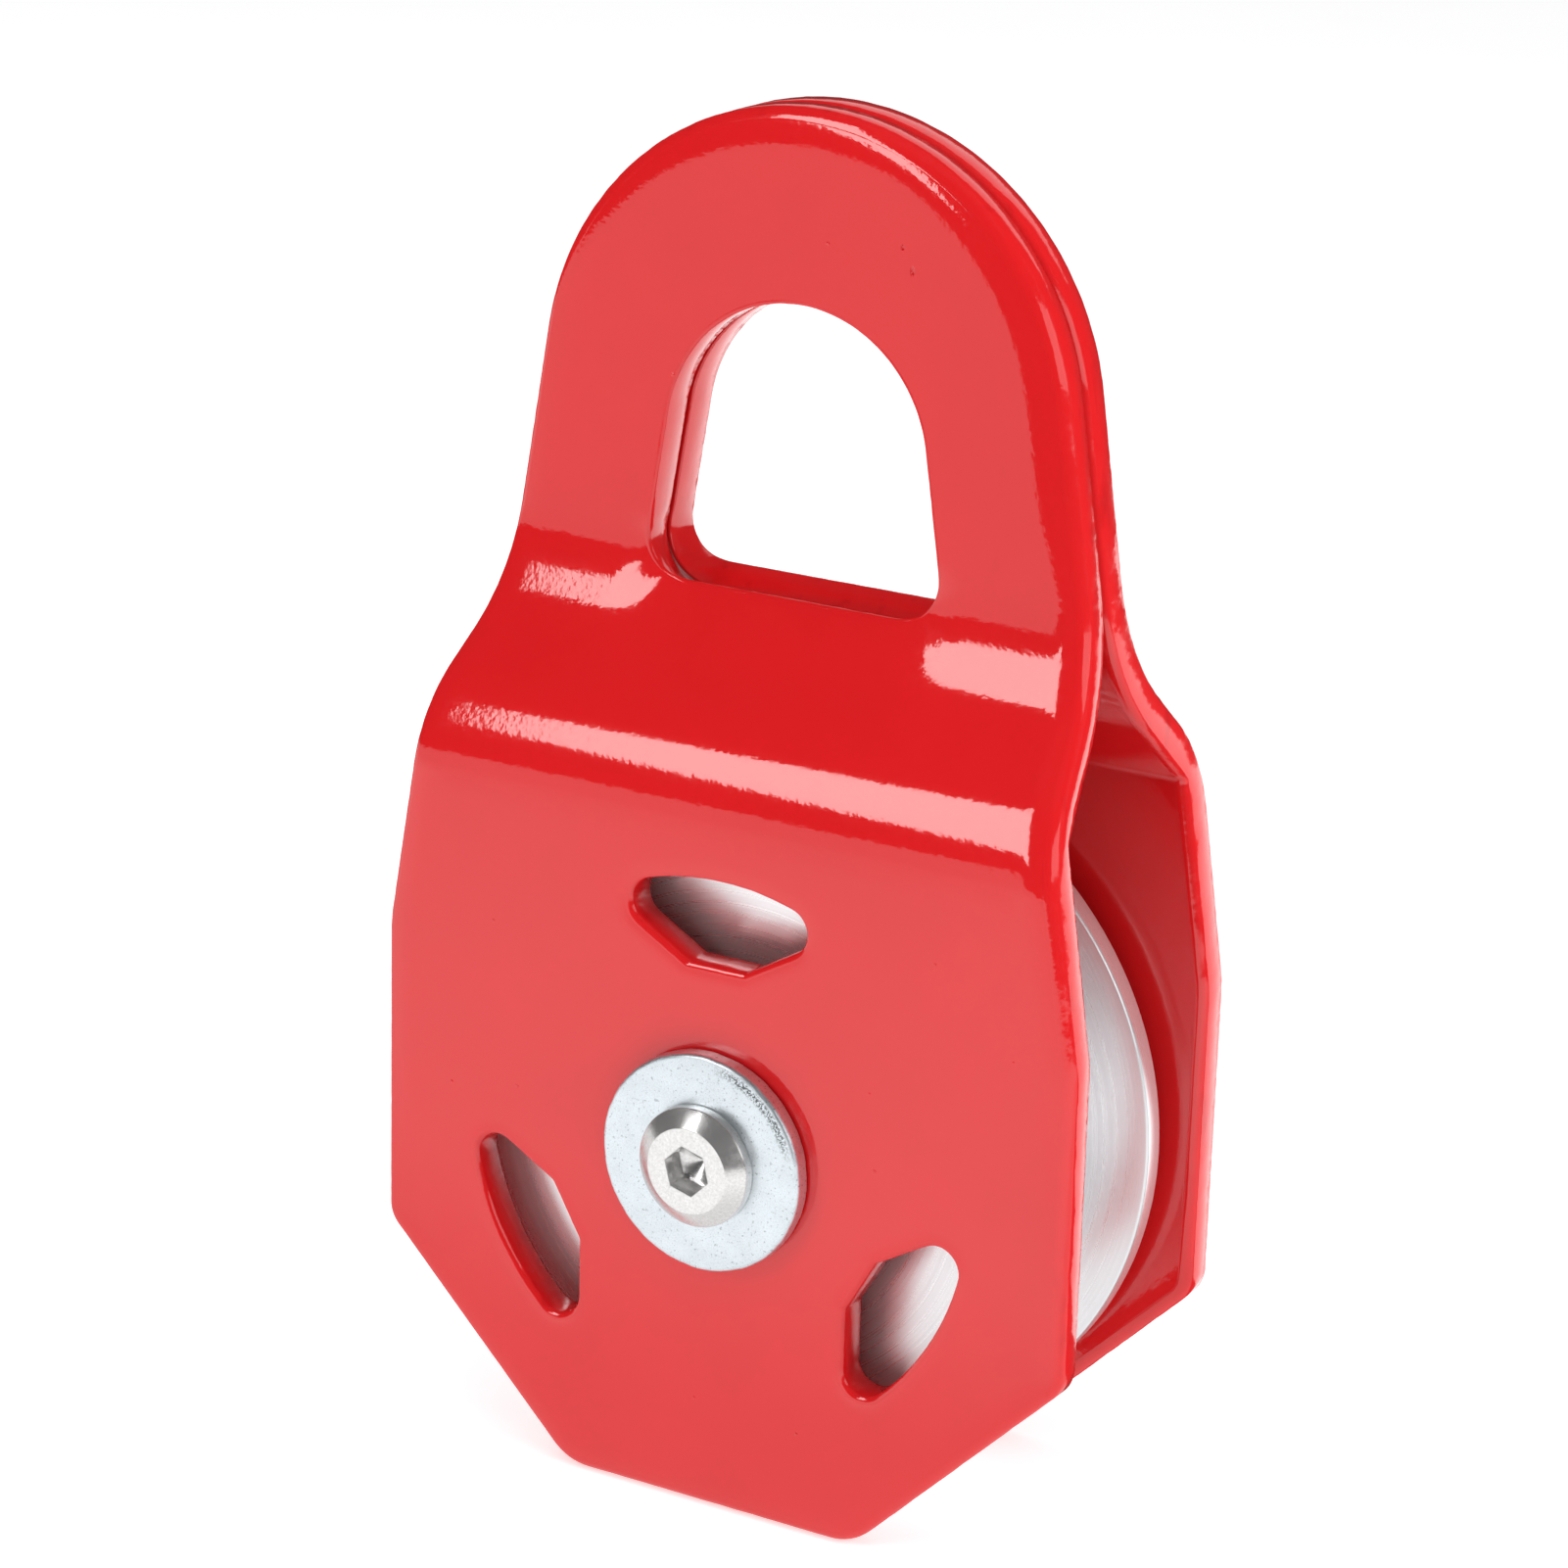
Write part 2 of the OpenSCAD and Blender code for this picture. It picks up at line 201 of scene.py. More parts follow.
def inner_line(v):
    """The inner face, which breaks sharply in the lower bend."""
    y, z, ang = mid_line(v)
    iy, iz = y - T / 2 * np.cos(ang), z - T / 2 * np.sin(ang)
    s = UP_CZ - v
    u = np.clip((S_END - s) / S_LO, 0, 1) * CREASE_LEN
    low = (s > S_UP + S_SL) & (s < S_END)
    cy, cz = CHEEK - T - CREASE_R, BEND_LO_Z - (T + CREASE_R) * t2
    a = np.clip((u - CREASE_FLAT) / CREASE_R, 0, BEND)
    over = np.clip(u - CREASE_FLAT - CREASE_R * BEND, 0, None)
    yy = cy + CREASE_R * np.cos(a) - over * sB
    zz = np.where(u < CREASE_FLAT, cz - (CREASE_FLAT - u), cz + CREASE_R * np.sin(a) + over * cB)
    return np.where(low, yy, iy), np.where(low, zz, iz), np.where(low, a, ang)


S_SLOT = M_UP * math.asin((UP_CZ - SLOT_BOTTOM) / M_UP)
WEB_H, WEB_LEAN = 8.0, 0.27


def web(x, v):
    """The sheet right under the slot hardly bends: how far it leans in there, and the slopes of that along x and v."""
    q = np.clip((np.abs(x) - 15) / 11, 0, 1)
    g = 1 - q * q * (3 - 2 * q)
    gx = -6 * q * (1 - q) / 11 * np.sign(x)
    k = v - (UP_CZ - S_SLOT - WEB_H)
    top = WEB_LEAN * WEB_H / 2
    h = np.where(k < 0, 0, WEB_LEAN * k * k / (2 * WEB_H))
    hv = np.where(k < 0, 0, WEB_LEAN * k / WEB_H)
    e = 10.0
    u = np.clip((k - WEB_H) / e, 0, 1)
    h2 = top * (2 * u ** 3 - 3 * u ** 2 + 1) + WEB_LEAN * e * (u ** 3 - 2 * u ** 2 + u)
    hv2 = (top * (6 * u ** 2 - 6 * u) + WEB_LEAN * e * (3 * u ** 2 - 4 * u + 1)) / e
    h, hv = np.where(k > WEB_H, h2, h), np.where(k > WEB_H, hv2, hv)
    return g * h, gx * h, g * hv, g


def place(p, t, n2=None, phi=0.0, skew=0.0):
    """Points of the sheet at depth t from its middle, with normals leaning by phi towards the 2D direction n2."""
    x, v = p[:, 0], p[:, 1]
    y, z, ang = mid_line(v)
    iy, iz, iang = inner_line(v)
    dy, dz = iy - (y - T / 2 * np.cos(ang)), iz - (z - T / 2 * np.sin(ang))
    f = np.clip(-t / (T / 2), 0, 1)
    D, Dx, Dv, under = web(x, v)
    thick = np.stack([Dx * np.cos(ang), np.cos(ang), np.sin(ang) + Dv], 1)
    thick /= np.linalg.norm(thick, axis=1)[:, None]
    X, Y, Z = x + t * thick[:, 0], y + t * thick[:, 1] + f * dy - D, z + t * thick[:, 2] + f * dz
    # the upper bend sits a little lower towards one side
    lower = skew * np.clip((x + 35) / 66, 0, 1.1) * (UP_CZ - v < S_UP + S_SL / 2) * (1 - under)
    Dv = Dv * 1.9
    a = np.where(f > 0.5, iang, mid_line(v + lower)[2])
    side = np.sign(t) if np.isscalar(t) else 1
    face = np.stack([Dx * np.cos(a), np.cos(a), np.sin(a) + Dv], 1)
    face /= np.linalg.norm(face, axis=1)[:, None]
    if n2 is None:
        nor = face * side
    else:
        edge = np.stack([n2[:, 0], -Dx * n2[:, 0] - n2[:, 1] * (np.sin(a) + Dv), n2[:, 1] * np.cos(a)], 1)
        edge /= np.linalg.norm(edge, axis=1)[:, None]
        nor = face * math.cos(phi) + edge * math.sin(phi)
    return np.stack([X, Y, Z], 1), nor


def ring_profile(crown_w, crown_a, edge_r, back_r, back_d):
    """Section of an edge, outer face first: distance in from the edge, depth, normal angle, wall weight."""
    rows = []
    d0 = edge_r * (1 - math.sin(crown_a))
    p = 1.5
    span = crown_w - d0
    for u in (0.0, 0.14, 0.28, 0.42, 0.56, 0.7, 0.84, 0.94):
        u1 = 1 - u
        drop = crown_a * span / (p + 1) * (1 - u1 ** (p + 1))
        rows.append((crown_w - u * span, u, drop, math.atan(crown_a * u ** p), 0.0))
    drop_at = lambda u: crown_a * span / (p + 1) * u ** (p + 1)
    rows = [(d, T / 2 - drop_at(u), ph, w) for d, u, _, ph, w in rows]
    top = T / 2 - drop_at(1.0)
    tc = top - edge_r * math.cos(crown_a)
    # the coat leaves the edge slightly barrelled, so its normals keep turning across the flat of the cut
    barrel = rad(16)
    for k in range(0, 7):
        ph = crown_a + (pi / 2 - crown_a) * k / 6
        sh = crown_a + (pi / 2 - barrel - crown_a) * k / 6
        rows.append((edge_r - edge_r * math.sin(ph), tc + edge_r * math.cos(ph), sh, min(1, k / 5)))
    bc = -T / 2 + back_r
    for k in range(1, 4):
        rows.append((0.0, tc + (bc - tc) * k / 4, pi / 2 + barrel * (k / 2 - 1), 1.0))
    for k in range(0, 6):
        ph = pi / 2 * (1 + k / 5)
        sh = pi / 2 + barrel + (pi / 2 - barrel) * k / 5
        rows.append((back_d - back_d * math.sin(ph), bc + back_r * math.cos(ph), sh, 1 - k / 5))
    return rows


def inside(poly, q):
    x, y = q[:, 0], q[:, 1]
    px, py = poly[:, 0], poly[:, 1]
    qx, qy = np.roll(px, -1), np.roll(py, -1)
    res = np.zeros(len(q), bool)
    for a, b, c, d in zip(px, py, qx, qy):
        cross = (b > y) != (d > y)
        if not cross.any():
            continue
        xi = a + (y - b) * (c - a) / (d - b if d != b else 1e-12)
        res ^= cross & (x < xi)
    return res


def fill(outer, holes, outer_in, holes_in, inner_face):
    """Triangles between the loops; extra rows of points follow the bends."""
    lo, hi = outer.min(0), outer.max(0)
    vs = []
    v = lo[1]
    while v < hi[1]:
        vs.append(v)
        s = UP_CZ - v
        crease_s = S_END - S_LO / 2
        if inner_face and abs(s - crease_s) < 1.6:
            v += 0.16
        elif -1.5 < s < S_UP + 1 or S_UP + S_SL - 1 < s < S_END + 1.5:
            v += 0.8
        else:
            v += 3.5
    grid = np.array([(x, q) for k, q in enumerate(vs) for x in np.arange(-51, 51.1, 3.0) + (0.75 if k % 2 else -0.75)])
    keep = inside(outer_in, grid)
    for h in holes_in:
        keep &= ~inside(h, grid)
    grid = grid[keep]
    loops = [outer] + holes
    pts = np.vstack(loops + [grid])
    edges, k = [], 0
    for lp in loops:
        n = len(lp)
        edges += [(k + i, k + (i + 1) % n) for i in range(n)]
        k += n
    out = delaunay_2d_cdt([Vector(p) for p in pts], edges, [], 0, 1e-7, True)
    co, faces, ids = out[0], out[2], out[3]
    back = np.array([i[0] if i else -1 for i in ids])
    if (back < 0).any():
        raise RuntimeError("crossing outlines")
    tri = np.array([[back[i] for i in f] for f in faces])
    cen = pts[tri].mean(1)
    ok = inside(outer, cen)
    for h in holes:
        ok &= ~inside(h, cen)
    tri = tri[ok]
    a, b, c = pts[tri[:, 0]], pts[tri[:, 1]], pts[tri[:, 2]]
    area = (b[:, 0] - a[:, 0]) * (c[:, 1] - a[:, 1]) - (b[:, 1] - a[:, 1]) * (c[:, 0] - a[:, 0])
    tri[area < 0] = tri[area < 0][:, ::-1]
    return grid, tri[np.abs(area) > 1e-9]


def mesh_object(name, verts, faces, normals=None, attrs=None, mirror=False):
    verts = np.array(verts, float)
    if mirror:
        verts = verts * [1, -1, 1]
        faces = [tuple(f)[::-1] for f in faces]
        if normals is not None:
            normals = np.array(normals) * [1, -1, 1]
    me = bpy.data.meshes.new(name)
    me.from_pydata((verts * MM).tolist(), [], [tuple(int(i) for i in f) for f in faces])
    me.validate(clean_customdata=False)
    me.polygons.foreach_set("use_smooth", [True] * len(me.polygons))
    for key, val in (attrs or {}).items():
        me.attributes.new(key, "FLOAT", "POINT").data.foreach_set("value", np.array(val, np.float32))
    if normals is not None:
        nn = np.array(normals, float)
        nn /= np.linalg.norm(nn, axis=1)[:, None]
        me.normals_split_custom_set_from_vertices(nn.tolist())
    me.update()
    ob = bpy.data.objects.new(name, me)
    bpy.context.scene.collection.objects.link(ob)
    return ob


def wobble(p, seed):
    """A smooth uneven line along an edge, from a few sines."""
    x, v = p[:, 0], p[:, 1]
    return (np.sin(0.55 * x + 0.83 * v + seed) + 0.7 * np.sin(1.31 * v - 0.9 * x + 2.1 * seed)
            + 0.5 * np.sin(2.3 * v + 1.7 * x + 0.7 * seed)) / 2.2


def build_plate(name, mirror):
    loops = [(outline_loop(), -1, ring_profile(4.8, rad(12), 2.1, 0.5, 0.5) if mirror else ring_profile(3.4, rad(5), 1.0, 0.8, 1.9)),
             (slot_loop(), 1, ring_profile(1.8, rad(4), 0.6, 0.5, 0.5) if mirror else ring_profile(1.2, rad(2), 0.3, 0.4, 0.4))]
    skew = 1.6 if mirror else 0.0
    for k in range(3):
        loops.append((window_loop(2 * pi / 3 * k), 1, ring_profile(3.0, rad(9), 1.0, 0.6, 0.6)))
    loops.append((bore_loop(), 1, ring_profile(1.4, rad(4), 0.5, 0.5, 0.5)))
    V, N, F, wall = [], [], [], []
    base = 0
    rims_out, rims_in, ids_out, ids_in, clear_out, clear_in = [], [], [], [], [], []
    for k, ((p, m), sgn, prof) in enumerate(loops):
        n = len(p)
        first = base
        # the rolled border is wider round the arch
        u = np.clip((p[:, 1] - 128) / 16, 0, 1) * (k == 0)
        grow = 1 + 0.75 * u * u * (3 - 2 * u)
        near = prof[8][0]
        reach = lambda d: (near + (d - near) * grow)[:, None]
        for j, (d, t, ph, w) in enumerate(prof):
            q = p + m * ((reach(d) if j < 8 else d) * sgn)
            amp = 0.07 * w
            if amp:
                q = q + m * (sgn * amp * abs(wobble(p, 1.0 + j * 0.35)))[:, None]
            co, no = place(q, t, m * (-sgn), ph, skew)
            V.append(co), N.append(no), wall.append(np.full(n, w))
            if j:
                a0, b0 = base - n, base
                for i in range(n):
                    i2 = (i + 1) % n
                    quad = (a0 + i, b0 + i, b0 + i2, a0 + i2)
                    F.append(quad[::-1] if sgn < 0 else quad)
            base += n
        rims_out.append(p + m * (reach(prof[0][0]) * sgn))
        clear_out.append(p + m * ((reach(prof[0][0]) + 0.7) * sgn))
        clear_in.append(p + m * ((prof[-1][0] + 0.7) * sgn))
        rims_in.append(p + m * (prof[-1][0] * sgn))
        ids_out.append(np.arange(first, first + n))
        ids_in.append(np.arange(base - n, base))
    for rims, ids, side in ((rims_out, ids_out, 1), (rims_in, ids_in, -1)):
        clear = clear_out if side > 0 else clear_in
        grid, tri = fill(rims[0], rims[1:], clear[0], clear[1:], side < 0)
        co, no = place(grid, side * T / 2, None, 0.0, skew)
        V.append(co), N.append(no), wall.append(np.zeros(len(grid)))
        lookup = np.concatenate(ids + [np.arange(base, base + len(grid))])
        base += len(grid)
        tri = lookup[tri]
        # seen from +Y, x runs to the left, so the outer face's winding turns over
        F += [tuple(f[::-1]) if side > 0 else tuple(f) for f in tri.tolist()]
    V, N, wall = np.vstack(V), np.vstack(N), np.concatenate(wall)
    return mesh_object(name, V, F, N, {"wall": wall}, mirror)


def lathe(name, groups, n=192, mirror=False, close=False):
    """Solid turned about the axle. Points give radius and Y; the profile runs round the section anticlockwise in (r, y)."""
    prof = np.array(groups, float)
    a = np.linspace(0, 2 * pi, n, endpoint=False)
    verts, faces = [], []
    rows = []
    for r, y in prof:
        if r < 1e-6:
            rows.append([len(verts)] * n)
            verts.append((0, y, AXLE_Z))
        else:
            rows.append(list(range(len(verts), len(verts) + n)))
            verts += [(r * math.cos(t), y, AXLE_Z + r * math.sin(t)) for t in a]
    m = len(prof)
    for j in range(m if close else m - 1):
        A, B = rows[j], rows[(j + 1) % m]
        for i in range(n):
            k = (i + 1) % n
            f = [A[i], A[k], B[k], B[i]]
            f = [f[q] for q in range(4) if f[q] != f[q - 1]]
            if len(set(f)) > 2:
                faces.append(tuple(f))
    ob = mesh_object(name, verts, faces, None, None, mirror)
    ob.data.set_sharp_from_angle(angle=rad(32))
    return ob


def soft(points, r, n=4):
    """Rounds each corner of an open or closed polyline; r is one radius or one per point."""
    pts = [np.array(p, float) for p in points]
    rs = [r] * len(pts) if np.isscalar(r) else list(r)
    out = []
    for i, b in enumerate(pts):
        a, c = pts[i - 1], pts[(i + 1) % len(pts)]
        if rs[i] <= 0:
            out.append(tuple(b))
            continue
        u, w = (a - b) / np.hypot(*(a - b)), (c - b) / np.hypot(*(c - b))
        half = math.acos(float(np.clip(u @ w, -1, 1))) / 2
        if half > rad(88):
            out.append(tuple(b))
            continue
        mid = (u + w) / np.hypot(*(u + w))
        centre = b + mid * rs[i] / math.sin(half)
        p0, p1 = b + u * rs[i] / math.tan(half), b + w * rs[i] / math.tan(half)
        a0, a1 = math.atan2(*(p0 - centre)[::-1]), math.atan2(*(p1 - centre)[::-1])
        while a1 - a0 > pi:
            a1 -= 2 * pi
        while a1 - a0 < -pi:
            a1 += 2 * pi
        out += [(centre[0] + rs[i] * math.cos(a0 + (a1 - a0) * k / n), centre[1] + rs[i] * math.sin(a0 + (a1 - a0) * k / n))
                for k in range(n + 1)]
    return out


def build_sheave():
    hw, groove_r, rim_w = 13.5, 7.0, 3.8
    gc = 31.0 + groove_r
    R = 48.0
    edge = 0.5
    ec = (R - edge, hw - rim_w + edge)
    g = math.hypot(ec[0] - gc, ec[1])
    ga = math.atan2(ec[1], ec[0] - gc) + math.acos((groove_r + edge) / g)
    half = [(gc + groove_r * math.cos(a), groove_r * math.sin(a)) for a in np.linspace(pi, ga, 15)]
    half += [(ec[0] + edge * math.cos(a), ec[1] + edge * math.sin(a)) for a in np.linspace(ga - pi, 0, 9)]
    half += [(R, hw - 2.2), (R, hw - 0.7)]
    half += [(R - 0.7 + 0.7 * math.cos(a), hw - 0.7 + 0.7 * math.sin(a)) for a in np.linspace(0, pi / 2, 6)[1:]]
    # side face with a shallow turned step round the bearing seat
    half += [(R - 3.0, hw), (24.2, hw), (23.9, hw - 0.08), (23.6, hw - 0.3), (23.3, hw - 0.38), (19.6, hw - 0.38),
             (18.6, hw - 0.38), (18.1, hw - 0.5), (17.55, hw - 1.0), (17.55, 3.0), (14.5, 3.0)]
    lower = [(r, -y) for r, y in half[:0:-1]]
    prof = half + lower
    return lathe("sheave_wheel", prof[::-1], 256, False, True)


def build_washer(name, mirror):
    y0 = CHEEK + GAP
    y1 = y0 + WASHER_T
    r = WASHER_D / 2
    prof = soft([(5.25, y0), (r, y0), (r, y1), (5.25, y1)], [0.2, 0.35, 0.62, 0.2], 6)
    prof = [(a, b) for a, b in prof]
    ob = lathe(name, prof, 192, mirror, True)
    co = np.array([v.co for v in ob.data.vertices])
    x, z = co[:, 0] / MM, co[:, 2] / MM - AXLE_Z
    rr, th = np.hypot(x, z), np.arctan2(z, x)
    lump = (0.05 * np.sin(7 * th + 1) + 0.035 * np.sin(17 * th) + 0.02 * np.sin(41 * th + 2)) * (rr > r - 1)
    k = 1 - np.abs(lump) / np.maximum(rr, 1)
    co[:, 0] *= k
    co[:, 2] = (co[:, 2] - AXLE_Z * MM) * k + AXLE_Z * MM
    ob.data.vertices.foreach_set("co", co.astype(np.float32).ravel())
    ob.data.update()
    return ob


def build_screw(name, mirror, turn):
    y0 = CHEEK + GAP + WASHER_T
    y1 = y0 + 1.6
    y2 = y1 + 1.6
    hr, fr, af, deep = 8.2, 5.9, 5.8, 3.4
    n = 180
    ang = np.linspace(0, 2 * pi, n, endpoint=False) + turn
    hexr = af / 2 / np.cos((np.linspace(0, 2 * pi, n, endpoint=False) % (pi / 3)) - pi / 6)
    ring = lambda r, y: [(r_ * math.cos(t), y, AXLE_Z + r_ * math.sin(t)) for r_, t in zip(np.broadcast_to(r, n), ang)]
    rows = []
    shank = [(0.01, CHEEK + GAP - 18), (4.0, CHEEK + GAP - 18), (5.0, CHEEK + GAP - 17), (5.0, y0)]
    for r, y in shank:
        rows.append(ring(r, y))
    for r, y in soft([(5.0, y0), (hr, y0), (hr, y1), (fr, y2), (0, y2)], [0, 0.25, 0.28, 0.35, 0], 5)[1:-1]:
        rows.append(ring(r, y))
    rows.append(ring(fr - 1.0, y2))
    rows.append(ring(hexr + 0.55, y2))
    for k in range(0, 4):
        a = pi / 2 * k / 3
        rows.append(ring(hexr + 0.22 * (1 - math.sin(a)), y2 - 0.22 * (1 - math.cos(a))))
    rows.append(ring(hexr, y2 - deep))
    # broached bottom: a ledge, then a drill cone
    rows.append(ring(hexr * 0.93, y2 - deep - 0.12))
    rows.append(ring(af / 2 * 0.86, y2 - deep - 0.2))
    rows.append(ring(0.02, y2 - deep - 1.35))
    verts = [v for row in rows for v in row]
    faces = []
    for j in range(len(rows) - 1):
        for i in range(n):
            k = (i + 1) % n
            faces.append((j * n + i, (j + 1) * n + i, (j + 1) * n + k, j * n + k)[::-1])
    faces.append(tuple(range(n)))
    last = (len(rows) - 1) * n
    faces.append(tuple(last + i for i in range(n))[::-1])
    ob = mesh_object(name, verts, faces, None, None, mirror)
    ob.data.set_sharp_from_angle(angle=rad(25))
    return ob


def check_outward(ob):
    """Turns a closed mesh right side out if its volume comes out negative."""
    me = ob.data
    me.calc_loop_triangles()
    co = np.array([v.co for v in me.vertices])
    tri = np.array([t.vertices[:] for t in me.loop_triangles])
    a, b, c = co[tri[:, 0]], co[tri[:, 1]], co[tri[:, 2]]
    vol = float(np.einsum("ij,ij->i", a, np.cross(b, c)).sum() / 6)
    if vol < 0:
        me.flip_normals()
    print("piece", ob.name, "volume mm3", round(vol * 1e9), "triangles", len(tri))
    return ob


# ------------------------------------------------------------------ materials
class Mat:
    """A node material with short helpers."""

    def __init__(self, name):
        self.m = bpy.data.materials.new(name)
        self.m.use_nodes = True
        self.t = self.m.node_tree
        self.bsdf = self.t.nodes["Principled BSDF"]
        self.co = self.t.nodes.new("ShaderNodeTexCoord").outputs["Object"]

    def node(self, kind, **props):
        n = self.t.nodes.new("ShaderNode" + kind)
        for k, v in props.items():
            setattr(n, k, v)
        return n

    def put(self, socket, value):
        if isinstance(value, bpy.types.NodeSocket):
            self.t.links.new(value, socket)
        else:
            socket.default_value = value

    def math(self, op, a, b=0.0, c=0.0, clamp=False):
        n = self.node("Math", operation=op, use_clamp=clamp)
        for s, v in zip(n.inputs, (a, b, c)):
            self.put(s, v)
        return n.outputs[0]

    def noise(self, scale, detail=2.0, rough=0.5, vec=None, dist=0.0):
        n = self.node("TexNoise")
        self.put(n.inputs["Vector"], vec if vec is not None else self.co)
        n.inputs["Scale"].default_value = scale
        n.inputs["Detail"].default_value = detail
        n.inputs["Roughness"].default_value = rough
        n.inputs["Distortion"].default_value = dist
        return n.outputs[0]

    def voronoi(self, scale, vec=None, out="Distance", feature="F1"):
        n = self.node("TexVoronoi", feature=feature)
        self.put(n.inputs["Vector"], vec if vec is not None else self.co)
        n.inputs["Scale"].default_value = scale
        return n.outputs[out]

    def stretch(self, sx, sy, sz, loc=(0, 0, 0)):
        n = self.node("Mapping")
        self.put(n.inputs["Vector"], self.co)
        n.inputs["Scale"].default_value = (sx, sy, sz)
        n.inputs["Location"].default_value = loc
        return n.outputs[0]

    def span(self, x, a, b, c=0.0, d=1.0, smooth=False):
        n = self.node("MapRange", interpolation_type="SMOOTHSTEP" if smooth else "LINEAR")
        for s, v in zip(n.inputs[:5], (x, a, b, c, d)):
            self.put(s, v)
        return n.outputs[0]

    def mix(self, f, a, b, mode="MIX"):
        n = self.node("Mix", data_type="RGBA", blend_type=mode)
        self.put(n.inputs["Factor"], f)
        ins = [s for s in n.inputs if s.type == "RGBA"]
        for s, v in zip(ins, (a, b)):
            self.put(s, v if isinstance(v, bpy.types.NodeSocket) else (*v, 1.0))
        return [s for s in n.outputs if s.type == "RGBA"][0]

    def bump(self, height, distance, strength=1.0, normal=None):
        n = self.node("Bump")
        self.put(n.inputs["Height"], height)
        n.inputs["Distance"].default_value = distance
        n.inputs["Strength"].default_value = strength
        if normal is not None:
            self.put(n.inputs["Normal"], normal)
        return n.outputs[0]

    def radius(self):
        """Distance from the axle's line, in metres."""
        sep = self.node("SeparateXYZ")
        self.put(sep.inputs[0], self.co)
        x = sep.outputs[0]
        z = self.math("SUBTRACT", sep.outputs[2], AXLE_Z * MM)
        return self.math("SQRT", self.math("ADD", self.math("MULTIPLY", x, x), self.math("MULTIPLY", z, z))), x, sep.outputs[1], z

    def attr(self, name):
        n = self.node("Attribute", attribute_name=name)
        return n.outputs["Fac"]

    def set(self, **kw):
        for k, v in kw.items():
            key = k.replace("_", " ")
            self.put(self.bsdf.inputs[key], v if not isinstance(v, tuple) or len(v) != 3 else (*v, 1.0))


NICKS = [(16.5, 167.6, 0.35, 0.75), (15.0, 170.4, 0.30, 0.45)]      # x, z and half widths, millimetres


def red_coat():
    m = Mat("red_powder_coat")
    wall = m.attr("wall")
    cloud = m.noise(35, 3, 0.6)
    fine = m.noise(900, 2, 0.5)
    base = m.mix(m.span(cloud, 0.3, 0.7), (0.690, 0.0110, 0.0135), (0.648, 0.0098, 0.0122))
    base = m.mix(m.math("MULTIPLY", m.span(m.noise(260, 3, 0.55, m.stretch(1, 1, 0.35)), 0.58, 0.75), m.math("MULTIPLY", wall, 0.55)),
                 base, (0.42, 0.004, 0.006))
    m.set(Base_Color=base)
    m.set(Roughness=m.math("ADD", m.span(fine, 0.3, 0.7, 0.045, 0.085), m.math("MULTIPLY", wall, 0.05)))
    m.bsdf.inputs["IOR"].default_value = 1.65
    peel = m.noise(1300, 1.0, 0.5)
    broad = m.noise(95, 1.0, 0.4)
    n1 = m.bump(broad, 0.00003, 0.5)
    n2 = m.bump(peel, 0.000018, 0.7, n1)
    lumps = m.math("MULTIPLY", m.math("ADD", m.noise(120, 1.0, 0.4), m.math("MULTIPLY", m.noise(420, 1.0, 0.5), 0.12)), wall)
    n3 = m.bump(lumps, 0.0005, 0.7, n2)
    spots = m.voronoi(150, out="Distance")
    speck = m.span(spots, 0.0, 0.040, 1.0, 0.0)
    pick = m.span(m.noise(40, 0, 0.5, m.stretch(1, 1, 1, (3, 1, 2))), 0.52, 0.55)
    n4 = m.bump(m.math("MULTIPLY", speck, pick), 0.00012, 0.9, n3)
    sep = m.node("SeparateXYZ")
    m.put(sep.inputs[0], m.co)
    front = m.math("LESS_THAN", sep.outputs[1], -0.001)
    nicks = 0.0
    for x0, z0, rx, rz in NICKS:
        dx = m.math("DIVIDE", m.math("SUBTRACT", sep.outputs[0], x0 * MM), rx * MM)
        dz = m.math("DIVIDE", m.math("SUBTRACT", sep.outputs[2], z0 * MM), rz * MM)
        gap = m.math("SQRT", m.math("ADD", m.math("MULTIPLY", dx, dx), m.math("MULTIPLY", dz, dz)))
        nicks = m.math("ADD", nicks, m.span(gap, 0.2, 1.0, -1.0, 0.0, True))
    n5 = m.bump(m.math("MULTIPLY", nicks, front), 0.0002, 1.0, n4)
    m.put(m.bsdf.inputs["Normal"], n5)
    return m.m


def zinc():
    m = Mat("bright_zinc")
    grain = m.noise(5200, 2, 0.6)
    cloud = m.noise(330, 3, 0.65)
    tone = m.math("ADD", m.math("MULTIPLY", grain, 0.7), m.math("MULTIPLY", cloud, 0.3))
    base = m.mix(m.span(tone, 0.36, 0.60), (0.67, 0.725, 0.76), (0.785, 0.85, 0.895))
    speck = m.span(m.noise(2100, 2, 0.75), 0.60, 0.69)
    base = m.mix(m.math("MULTIPLY", speck, 0.75), base, (0.30, 0.33, 0.35))
    # painted reflection: a dark grainy streak just inside the face's upper right edge, where the shiny edge reflects
    # the dark room
    r, x, y, z = m.radius()
    lean = m.math("DIVIDE", m.math("ADD", m.math("MULTIPLY", x, 0.67), m.math("MULTIPLY", z, 0.74)), r)
    painted_dark_reflection = m.math("MULTIPLY", m.span(lean, 0.82, 0.93), m.math("MULTIPLY", m.span(r, 0.0128, 0.0134), m.span(r, 0.0140, 0.0145, 1.0, 0.0)))
    grains = m.span(m.noise(2900, 2, 0.75), 0.47, 0.54)
    base = m.mix(m.math("MULTIPLY", painted_dark_reflection, grains), base, (0.13, 0.14, 0.15))
    m.set(Base_Color=base, Metallic=0.9)
    m.set(Roughness=m.span(tone, 0.3, 0.7, 0.42, 0.30))
    n1 = m.bump(m.noise(2600, 3, 0.7), 0.000016, 0.5)
    m.put(m.bsdf.inputs["Normal"], m.bump(m.noise(260, 2, 0.5), 0.00004, 0.5, n1))
    return m.m


